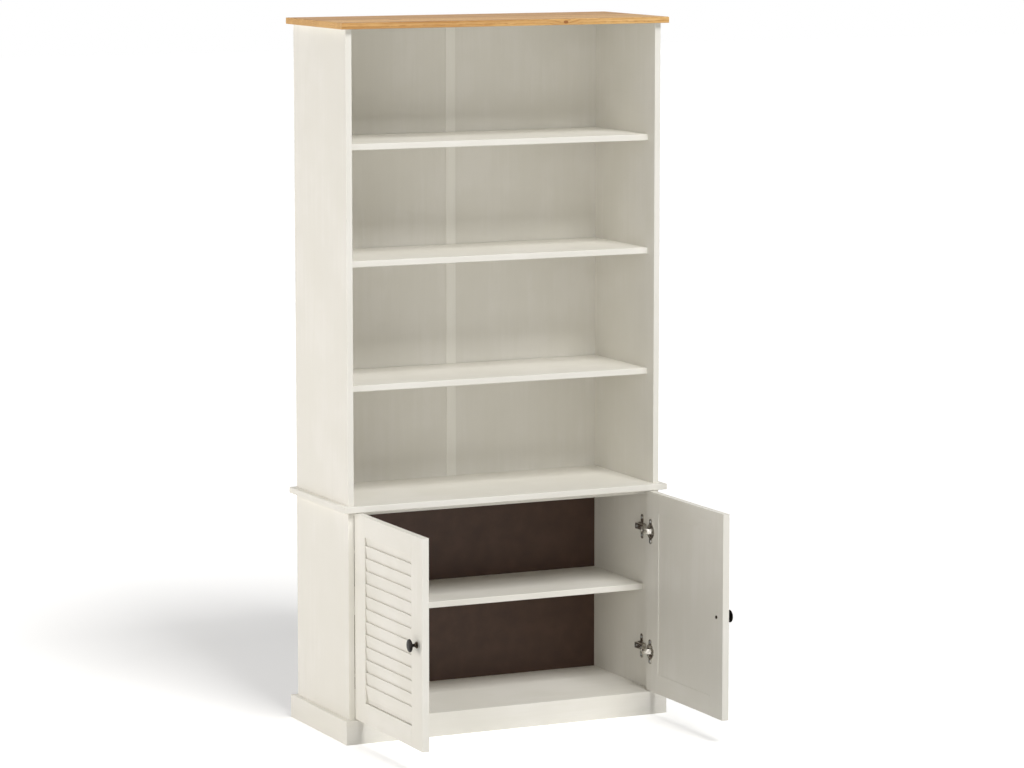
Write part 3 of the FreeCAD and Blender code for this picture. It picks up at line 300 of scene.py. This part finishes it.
def extruded_plastic():
    """Cream PVC, extruded: smoother and a little glossier than the paint beside it, with faint die
    lines, 1.5 mm apart, along its length."""
    material, tree, shader, place = blank("cream_extruded_pvc", {"Roughness": 0.32, "IOR": 1.53})
    along = add(tree, "Mapping", {"Scale": (1.0, 1.0, 0.01)}, {"Vector": place}).outputs[0]
    lines = add(tree, "TexNoise", {"Scale": 700.0, "Detail": 2.0}, {"Vector": along}).outputs["Fac"]
    colour = add(tree, "ValToRGB", {"stops": [(0.3, "#f6f3ea"), (0.7, "#f9f7ef")]},
                 {"Fac": lines}).outputs[0]
    tree.links.new(colour, shader.inputs["Base Color"])
    bump = add(tree, "Bump", {"Strength": 0.12, "Distance": 0.0002}, {"Height": lines}).outputs[0]
    tree.links.new(bump, shader.inputs["Normal"])
    return material


def plated_steel(name, light, dark, rough):
    """Pressed steel under bright plating: mirror-like highlights broken by the press's fine ripple,
    4 mm long, and by faint rubbing marks, a few tenths of a millimetre wide."""
    material, tree, shader, place = blank(name, {"Metallic": 1.0, "Roughness": rough})
    ripple = add(tree, "TexNoise", {"Scale": 260.0, "Detail": 3.0},
                 {"Vector": place}).outputs["Fac"]
    marks = add(tree, "TexNoise", {"Scale": 1500.0, "Detail": 2.0, "Distortion": 2.0},
                {"Vector": place}).outputs["Fac"]
    colour = add(tree, "ValToRGB", {"stops": [(0.35, dark), (0.6, light)]},
                 {"Fac": ripple}).outputs[0]
    tree.links.new(colour, shader.inputs["Base Color"])
    spread = add(tree, "MapRange", {"From Min": 0.3, "From Max": 0.7, "To Min": rough - 0.07,
                                    "To Max": rough + 0.1}, {"Value": marks}).outputs[0]
    tree.links.new(spread, shader.inputs["Roughness"])
    bump = add(tree, "Bump", {"Strength": 0.2, "Distance": 0.0002}, {"Height": ripple}).outputs[0]
    tree.links.new(bump, shader.inputs["Normal"])
    return material


def dark_bronze():
    """Cast zinc under a near black bronze finish: dark brown, mottled in patches 5 mm wide, some of
    them a warmer metal tone where the finish is rubbed, and a painted highlight, a lighter and
    warmer band, round the knob's foot."""
    material, tree, shader, place = blank("antiqued_dark_bronze",
                                          {"Metallic": 0.85, "Roughness": 0.34})
    patches = add(tree, "TexNoise", {"Scale": 190.0, "Detail": 4.0, "Roughness": 0.6},
                  {"Vector": place}).outputs["Fac"]
    # painted highlight: on both knobs' feet the tone rises, from 8 mm to 3 mm off the door's face, a
    # lighter and warmer band painted where the foot's ring catches the light
    x = add(tree, "SeparateXYZ", links={0: place}).outputs[0]
    outwards = add(tree, "Math", {"operation": "ABSOLUTE"}, {0: x}).outputs[0]
    foot = add(tree, "MapRange", {"From Min": (DOOR_OUTER + 8) * MM,
                                  "From Max": (DOOR_OUTER + 3) * MM,
                                  "To Min": 0.0, "To Max": 0.26}, {"Value": outwards}).outputs[0]
    tone = add(tree, "Math", {"operation": "ADD"}, {0: patches, 1: foot}).outputs[0]
    colour = add(tree, "ValToRGB", {"stops": [(0.45, "#110e0c"), (0.68, "#1d1815"),
                                              (0.9, "#5c4d38")]}, {"Fac": tone}).outputs[0]
    tree.links.new(colour, shader.inputs["Base Color"])
    spread = add(tree, "MapRange", {"From Min": 0.3, "From Max": 0.7, "To Min": 0.26,
                                    "To Max": 0.42}, {"Value": patches}).outputs[0]
    tree.links.new(spread, shader.inputs["Roughness"])
    bump = add(tree, "Bump", {"Strength": 0.25, "Distance": 0.0002}, {"Height": patches}).outputs[0]
    tree.links.new(bump, shader.inputs["Normal"])
    return material


PAINT_UP = painted_pine("cream_painted_pine_upright", "Z")
PAINT_LEVEL = painted_pine("cream_painted_pine_level", "X")
PAINT_DOOR = painted_pine("cream_painted_pine_door_rails", "Y")
HONEY = honey_pine()
BROWN = hardboard()
PLASTIC = extruded_plastic()
NICKEL = plated_steel("nickel_plated_steel", "#d6d2ca", "#a9a49b", 0.24)
ZINC = plated_steel("zinc_plated_steel", "#c4c5c4", "#999b9c", 0.38)
BRONZE = dark_bronze()
BEECH = plain_wood("beech", "#d9b48a", "#c69a6c", "Z")
BEECH_LEVEL = plain_wood("beech_level", "#d9b48a", "#c69a6c", "X")
BARE = plain_wood("bare_pine", "#e2c591", "#d0a869", "Z")


def pairs(*parts):
    """The names of the left and the right one of each part."""
    return tuple("%s_%s" % (hand, part) for hand in HANDS for part in parts)


# the paint's grain runs along each board: up, from side to side, or from front to back
FINISHES = {
    PAINT_UP: ("upper_side_left", "upper_side_right", "lower_side_left", "lower_side_right",
               "upper_back_left", "upper_back_right",
               *pairs("door_hinge_stile", "door_free_stile", "door_panel")),
    PAINT_LEVEL: ("waist_board", "bottom_board", "upper_shelf_low", "upper_shelf_middle",
                  "upper_shelf_high", "cabinet_shelf", "door_stop_rail", "plinth_front",
                  "plinth_rear"),
    PAINT_DOOR: ("plinth_side_left", "plinth_side_right",
                 *pairs("door_top_rail", "door_bottom_rail", "door_louvre_slats")),
    HONEY: ("top_board",),
    BROWN: ("lower_back_panel",),
    PLASTIC: ("upper_back_strip",),
    ZINC: ("shelf_pins", "back_screws", "plinth_screws", *pairs("plate_screws", "cup_screws")),
    NICKEL: pairs("hinge_plates", "hinge_arms", "hinge_links", "hinge_cups"),
    BRONZE: pairs("door_knob", "door_knob_screw"),
    BEECH: ("carcass_dowels",),
    BEECH_LEVEL: ("shelf_dowels",),
    BARE: ("plinth_corner_blocks",),
}


def dress(piece, material):
    """Gives the whole piece one material."""
    if len(piece.material_slots) == 0:
        piece.data.materials.append(material)
    for slot in piece.material_slots:
        slot.material = material


for finish, names in FINISHES.items():
    for node_name in names:
        dress(nodes[node_name], finish)


# Modelling, as by hand: one piece at a time is selected, opened, shaped and closed

def clear():
    """Deselects everything, so that an operator acts on one piece only."""
    if bpy.context.object and bpy.context.object.mode != "OBJECT":
        bpy.ops.object.mode_set(mode="OBJECT")
    bpy.ops.object.select_all(action="DESELECT")


def only(piece):
    """Selects one piece and makes it the active one."""
    clear()
    piece.select_set(True)
    bpy.context.view_layer.objects.active = piece


def edit(piece, mode="FACE"):
    """Opens a piece in edit mode with nothing selected."""
    only(piece)
    bpy.ops.object.mode_set(mode="EDIT")
    bpy.ops.mesh.select_mode(type=mode)
    bpy.ops.mesh.select_all(action="DESELECT")


def pick_faces(piece, test):
    """Selects the faces whose centre and normal pass the test, and leaves edit mode open."""
    bpy.ops.object.mode_set(mode="OBJECT")
    for face in piece.data.polygons:
        face.select = test(face.center, face.normal)
    bpy.ops.object.mode_set(mode="EDIT")


def pick_edges(piece, test):
    """Selects the edges whose two ends pass the test, and leaves edit mode open."""
    bpy.ops.object.mode_set(mode="OBJECT")
    mesh = piece.data
    for edge in mesh.edges:
        edge.select = test(*(mesh.vertices[number].co for number in edge.vertices))
    bpy.ops.object.mode_set(mode="EDIT")


def close():
    """Merges doubled points, turns every face outwards and leaves edit mode."""
    bpy.ops.mesh.select_all(action="SELECT")
    bpy.ops.mesh.remove_doubles(threshold=0.000002)
    bpy.ops.mesh.normals_make_consistent(inside=False)
    bpy.ops.object.mode_set(mode="OBJECT")


def smooth(piece, degrees=32):
    """Shades the piece smooth, with edges sharper than the angle left crisp."""
    only(piece)
    bpy.ops.object.shade_smooth_by_angle(angle=math.radians(degrees))


def eased(piece, width):
    """Rounds every sharp edge of a piece by a small bevel, in millimetres, and shades it smooth."""
    only(piece)
    modifier = piece.modifiers.new("eased_edges", "BEVEL")
    modifier.width = width * MM
    modifier.segments = 2
    modifier.limit_method = "ANGLE"
    modifier.angle_limit = math.radians(35)
    bpy.ops.object.modifier_apply(modifier=modifier.name)
    smooth(piece, 40)


def redrawn(node, name):
    """A copy of a node's shape with its loose triangles joined, ready to be shaped."""
    piece = bpy.data.objects.new(name, nodes[node].data.copy())
    bpy.context.scene.collection.objects.link(piece)
    edit(piece)
    close()
    return piece


def turned(name, profile, steps=40):
    """A turned piece: the profile's (radius, height) points in millimetres, spun round Z."""
    clear()
    bpy.ops.mesh.primitive_plane_add(size=0.001, location=(0, 0, 0))
    piece = bpy.context.object
    piece.name = name
    bpy.ops.object.mode_set(mode="EDIT")
    bpy.ops.mesh.select_mode(type="VERT")
    bpy.ops.mesh.select_all(action="SELECT")
    bpy.ops.mesh.merge(type="CENTER")
    points = [Vector((radius, 0, height)) * MM for radius, height in profile]
    bpy.ops.transform.translate(value=points[0])
    for before, after in zip(points, points[1:]):
        bpy.ops.mesh.extrude_vertices_move(TRANSFORM_OT_translate={"value": after - before})
    bpy.ops.mesh.select_all(action="SELECT")
    bpy.ops.mesh.spin(steps=steps, angle=math.tau, center=(0, 0, 0), axis=(0, 0, 1))
    close()
    smooth(piece)
    return piece


def cross_screw(name, head_radius, head_height, shank_radius, length):
    """A pan-head screw along -Z from the head's seat, with a tapered cross slot and a pointed
    shank. Its measures are in millimetres."""
    clear()
    bpy.ops.mesh.primitive_cylinder_add(vertices=32, radius=head_radius * MM,
                                        depth=head_height * MM,
                                        location=(0, 0, head_height / 2 * MM))
    piece = bpy.context.object
    piece.name = name
    bpy.ops.object.transform_apply(location=True, rotation=True, scale=True)
    edit(piece, "EDGE")
    top = head_height * MM - 1e-6
    pick_edges(piece, lambda first, last: first.z > top and last.z > top)
    bpy.ops.mesh.bevel(offset=head_height * 0.45 * MM, segments=4, profile=0.5)
    bpy.ops.mesh.select_mode(type="FACE")
    pick_faces(piece, lambda centre, normal: normal.z < -0.9)
    bpy.ops.mesh.inset(thickness=(head_radius - shank_radius) * MM)
    point = 2
    bpy.ops.mesh.extrude_region_move(
        TRANSFORM_OT_translate={"value": (0, 0, (point - length) * MM)})
    bpy.ops.mesh.extrude_region_move(TRANSFORM_OT_translate={"value": (0, 0, -point * MM)})
    bpy.ops.transform.resize(value=(0.15, 0.15, 1.0))
    close()
    # the slot's cutter: two crossed blades that narrow towards their foot
    clear()
    long, thin, deep = (head_radius * 1.25 * MM, head_radius * 0.26 * MM, head_height * 1.1 * MM)
    blades = []
    for scale in ((long, thin, deep), (thin, long, deep)):
        bpy.ops.mesh.primitive_cube_add(size=1.0, location=(0, 0, head_height * 0.75 * MM))
        blade = bpy.context.object
        blade.scale = scale
        bpy.ops.object.transform_apply(location=True, rotation=True, scale=True)
        edit(blade)
        pick_faces(blade, lambda centre, normal: normal.z < -0.9)
        bpy.ops.transform.resize(value=(0.55, 0.55, 1.0))
        bpy.ops.object.mode_set(mode="OBJECT")
        blades.append(blade)
    for blade in blades:
        only(piece)
        modifier = piece.modifiers.new("slot", "BOOLEAN")
        modifier.operation = "DIFFERENCE"
        modifier.solver = "EXACT"
        modifier.object = blade
        bpy.ops.object.modifier_apply(modifier=modifier.name)
    for blade in blades:
        bpy.data.objects.remove(blade)
    smooth(piece, 28)
    return piece


# how a fitting that is drawn along +Z is turned to point either way sideways, back or down
TURNS = {
    "+X": Matrix.Rotation(math.radians(90), 4, "Y"),
    "-X": Matrix.Rotation(math.radians(-90), 4, "Y"),
    "+Y": Matrix.Rotation(math.radians(-90), 4, "X"),
    "-Z": Matrix.Rotation(math.radians(180), 4, "X"),
}


def copies(pattern, name, way, points):
    """Copies of a fitting, each with its own mesh, turned one way, set on the points in millimetres
    and joined as one piece."""
    made = []
    for number, point in enumerate(points):
        copy = bpy.data.objects.new("%s_%d" % (name, number) if number else name,
                                    pattern.data.copy())
        bpy.context.scene.collection.objects.link(copy)
        copy.data.transform(Matrix.Translation(Vector(point) * MM) @ TURNS[way])
        made.append(copy)
    clear()
    for copy in made:
        copy.select_set(True)
    bpy.context.view_layer.objects.active = made[0]
    if len(made) > 1:
        bpy.ops.object.join()
    return bpy.context.view_layer.objects.active


def settle(piece, material, body, slot, *stands_for):
    """Finishes a piece: its material, the body it moves with and the nodes it stands for."""
    dress(piece, material)
    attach(piece, body)
    if stands_for:
        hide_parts(*stands_for)


# Fittings

def pressed(node, name, width):
    """A pressed fitting whose flat faces are whole again and whose edges are rounded as the press
    leaves them."""
    piece = redrawn(node, name)
    edit(piece)
    bpy.ops.mesh.select_all(action="SELECT")
    bpy.ops.mesh.dissolve_limited(angle_limit=math.radians(1.0))
    bpy.ops.object.mode_set(mode="OBJECT")
    eased(piece, width)
    return piece


def louvres(node, name, outward):
    """The door's slats with the rounded edges of planed and sanded wood. The lowest one, whose edge
    the stiles leave free, is drawn down to the bottom rail."""
    piece = redrawn(node, name)
    low_edge = DOOR_BOTTOM + RAIL_WIDTH + SLAT_GAP
    for seam in (FREE_STILE, HINGE_STILE):
        edit(piece)
        pick_faces(piece, lambda centre, normal: centre.z < (low_edge + LOWEST_SLAT) * MM)
        bpy.ops.mesh.bisect(plane_co=(0, seam * MM, 0), plane_no=(0, 1, 0))
    edit(piece)
    pick_faces(piece, lambda centre, normal: normal.z < -0.9 and centre.z < (low_edge + 1) * MM
               and FREE_STILE * MM < centre.y < HINGE_STILE * MM)
    drop = (SLAT_GAP - SLAT_SEAM) * MM
    bpy.ops.mesh.extrude_region_move(TRANSFORM_OT_translate={
        "value": (outward * drop * math.tan(math.radians(SLAT_TILT)), 0, -drop)})
    close()
    eased(piece, 0.8)
    return piece


# Knob: a turned foot with a bead, a waisted neck, and a shallow dished head with a rounded rim.
KNOB_PROFILE = [
    (0.0, 0.0), (7.9, 0.0), (8.0, 0.5), (7.9, 1.1), (7.3, 1.6), (6.6, 1.8), (6.5, 2.1), (6.7, 2.5),
    (6.4, 3.0), (5.6, 3.5), (4.9, 4.1), (4.3, 5.0), (3.95, 6.2), (3.8, 7.6), (3.9, 9.0),
    (4.3, 10.4), (5.2, 11.7), (6.8, 12.9), (9.0, 14.0), (11.4, 15.0), (13.6, 15.9), (14.9, 16.9),
    (15.4, 17.9), (15.2, 18.8), (14.3, 19.6), (12.4, 20.5), (9.8, 21.2), (6.7, 21.7), (3.4, 21.9),
    (0.0, 22.0),
]
knob = turned("knob_pattern", KNOB_PROFILE)
# head's radius and height, shank's radius, length
knob_screw = cross_screw("knob_screw_pattern", 4.0, 2.2, 2.0, 26.0)
cup_screw = cross_screw("cup_screw_pattern", 3.2, 1.6, 1.5, 15.7)
plate_screw = cross_screw("plate_screw_pattern", 3.2, 1.6, 1.5, 9.5)
back_screw = cross_screw("back_screw_pattern", 3.2, 1.6, 1.5, 18.0)
block_screw = cross_screw("block_screw_pattern", 3.2, 1.6, 1.5, 46.0)
arm_screw = cross_screw("arm_screw_pattern", 2.9, 1.1, 1.3, 4.0)

for hand, sign, out, back in (("left", -1, "-X", "+X"), ("right", 1, "+X", "-X")):
    carcass, door = "carcass", hand + "_door"
    piece = copies(knob, hand + "_turned_knob", out,
                   [(sign * DOOR_OUTER, KNOB_LINE, KNOB_HEIGHT)])
    settle(piece, BRONZE, door, "dark_bronze", hand + "_door_knob")
    piece = copies(knob_screw, hand + "_knob_machine_screw", back,
                   [(sign * DOOR_INNER, KNOB_LINE, KNOB_HEIGHT)])
    settle(piece, BRONZE, door, "dark_bronze", hand + "_door_knob_screw")
    piece = copies(cup_screw, hand + "_cup_cross_screws", back,
                   [(sign * (DOOR_INNER - CUP_FLANGE), CUP_LINE, z + step)
                    for z in HINGE_HEIGHTS for step in (-CUP_SCREW_STEP, CUP_SCREW_STEP)])
    settle(piece, ZINC, door, "zinc_steel", hand + "_cup_screws")
    piece = copies(plate_screw, hand + "_plate_cross_screws", back,
                   [(sign * (SIDE_INNER - PLATE_THICKNESS), PLATE_LINE, z + step)
                    for z in HINGE_HEIGHTS for step in (-PLATE_SCREW_STEP, PLATE_SCREW_STEP)])
    settle(piece, ZINC, carcass, "zinc_steel", hand + "_plate_screws")
    piece = copies(arm_screw, hand + "_arm_setting_screws", back,
                   [(sign * (SIDE_INNER - ARM_TOP), y, z)
                    for z in HINGE_HEIGHTS for y in ARM_SCREW_LINES])
    settle(piece, ZINC, carcass, "zinc_steel")
    node = hand + "_door_louvre_slats"
    piece = louvres(node, hand + "_planed_louvres", sign)
    settle(piece, PAINT_DOOR, door, "cream_paint", node)
    for part, body, width in (("plates", carcass, 0.35), ("arms", carcass, 0.4),
                              ("links", hand + "_links", 0.3), ("cups", door, 0.3)):
        node = "%s_hinge_%s" % (hand, part)
        piece = pressed(node, "%s_pressed_hinge_%s" % (hand, part), width)
        settle(piece, NICKEL, body, "nickel_steel", node)

piece = copies(back_screw, "back_cross_screws", "+Y",
               [(x, face, z)
                for face, rows in ((UPPER_BACK_FACE, UPPER_BACK_ROWS),
                                   (LOWER_BACK_FACE, LOWER_BACK_ROWS))
                for z in rows for x in (-BACK_SCREW_LINE, BACK_SCREW_LINE)])
settle(piece, ZINC, "carcass", "zinc_steel", "back_screws")
piece = copies(block_screw, "plinth_cross_screws", "-Z",
               [(x, y, BLOCK_FACE) for x in (-BLOCK_SCREW_LINE, BLOCK_SCREW_LINE)
                for y in BLOCK_SCREW_DEPTHS])
settle(piece, ZINC, "carcass", "zinc_steel", "plinth_screws")
for pattern in (knob, knob_screw, cup_screw, plate_screw, back_screw, block_screw, arm_screw):
    bpy.data.objects.remove(pattern)


# Stage: a white floor and room

def background_ray(tree):
    """1 where the camera, a reflection or a look through glass meets the background, else 0."""
    path = add(tree, "LightPath").outputs
    seen = add(tree, "Math", {"operation": "MAXIMUM"},
               {0: path["Is Camera Ray"], 1: path["Is Glossy Ray"]}).outputs[0]
    return add(tree, "Math", {"operation": "MAXIMUM"},
               {0: seen, 1: path["Is Transmission Ray"]}).outputs[0]


def studio_floor():
    """White vinyl sweep: plain white to the eye, with the bookcase's soft shadow kept on it."""
    material = bpy.data.materials.new("white_studio_vinyl")
    material.use_nodes = True
    tree = material.node_tree
    tree.nodes.clear()
    place = add(tree, "TexCoord").outputs["Object"]
    fleck = add(tree, "TexNoise", {"Scale": 60.0, "Detail": 2.0}, {"Vector": place}).outputs["Fac"]
    colour = add(tree, "ValToRGB", {"stops": [(0.3, "#f2f1ef"), (0.7, "#f5f4f2")]},
                 {"Fac": fleck}).outputs[0]
    matt = add(tree, "BsdfDiffuse", links={"Color": colour}).outputs[0]
    # the sweep rises into plain white, 1 to 4 m from the bookcase, so that it has no horizon
    far = add(tree, "VectorMath", {"operation": "LENGTH"}, {0: place}).outputs["Value"]
    near = add(tree, "MapRange", {"From Min": 1.0, "From Max": 4.0, "To Min": 0.45, "To Max": 1.0},
               {"Value": far}).outputs[0]
    lift = add(tree, "Math", {"operation": "MULTIPLY"},
               {0: near, 1: background_ray(tree)}).outputs[0]
    glow = add(tree, "Emission", {"Color": (1, 1, 1, 1)}, {"Strength": lift}).outputs[0]
    both = add(tree, "AddShader", links={0: matt, 1: glow}).outputs[0]
    add(tree, "OutputMaterial", links={"Surface": both})
    return material


clear()
bpy.ops.mesh.primitive_plane_add(size=60.0, location=(0, 0, 0))
floor = bpy.context.object
floor.name = "studio_floor"
dress(floor, studio_floor())

# the room looks white, but lights the bookcase only by its dome level
DOME = 0.08
world = bpy.data.worlds.new("studio_white")
bpy.context.scene.world = world
world.use_nodes = True
room = world.node_tree
room.nodes.clear()
level = add(room, "MapRange", {"To Min": DOME, "To Max": 1.0},
            {"Value": background_ray(room)}).outputs[0]
sky = add(room, "Background", {"Color": (1, 1, 1, 1)}, {"Strength": level}).outputs[0]
add(room, "OutputWorld", links={"Surface": sky})


# Lights and camera

def soft_box(name, spot, aim, width, height, power, colour=(1.0, 1.0, 1.0)):
    """A large soft lamp, its power in watts, that faces the aim point."""
    lamp = bpy.data.lights.new(name, "AREA")
    lamp.shape = "RECTANGLE"
    lamp.size = width
    lamp.size_y = height
    lamp.energy = power
    lamp.color = colour
    holder = bpy.data.objects.new(name, lamp)
    bpy.context.scene.collection.objects.link(holder)
    holder.location = spot
    holder.rotation_euler = (Vector(aim) - Vector(spot)).to_track_quat("-Z", "Y").to_euler()


# a warm window beside the bookcase, a wall washer at the left front and a high skylight before it
soft_box("side_window", (-4.2, 0.9, 1.4), (0.0, -0.1, 0.9), 3.2, 2.6, 88.0, (1.0, 0.965, 0.925))
soft_box("left_front_fill", (-6.0, -6.5, 2.6), (0.0, -0.2, 0.9), 3.6, 3.6, 86.0)
soft_box("high_skylight", (0.6, -7.5, 9.0), (0.0, -0.2, 0.8), 4.0, 4.0, 900.0)

lens = bpy.data.cameras.new("viewpoint")
lens.sensor_width = 36.0
lens.lens = 139.04
lens.clip_end = 100.0
camera = bpy.data.objects.new("viewpoint", lens)
bpy.context.scene.collection.objects.link(camera)
camera.location = (-3.9746, -8.7692, 2.0916)
camera.rotation_euler = (math.radians(90 - 7.667), 0.0, math.radians(-25.282))
bpy.context.scene.camera = camera

bpy.context.scene.view_settings.view_transform = "Standard"
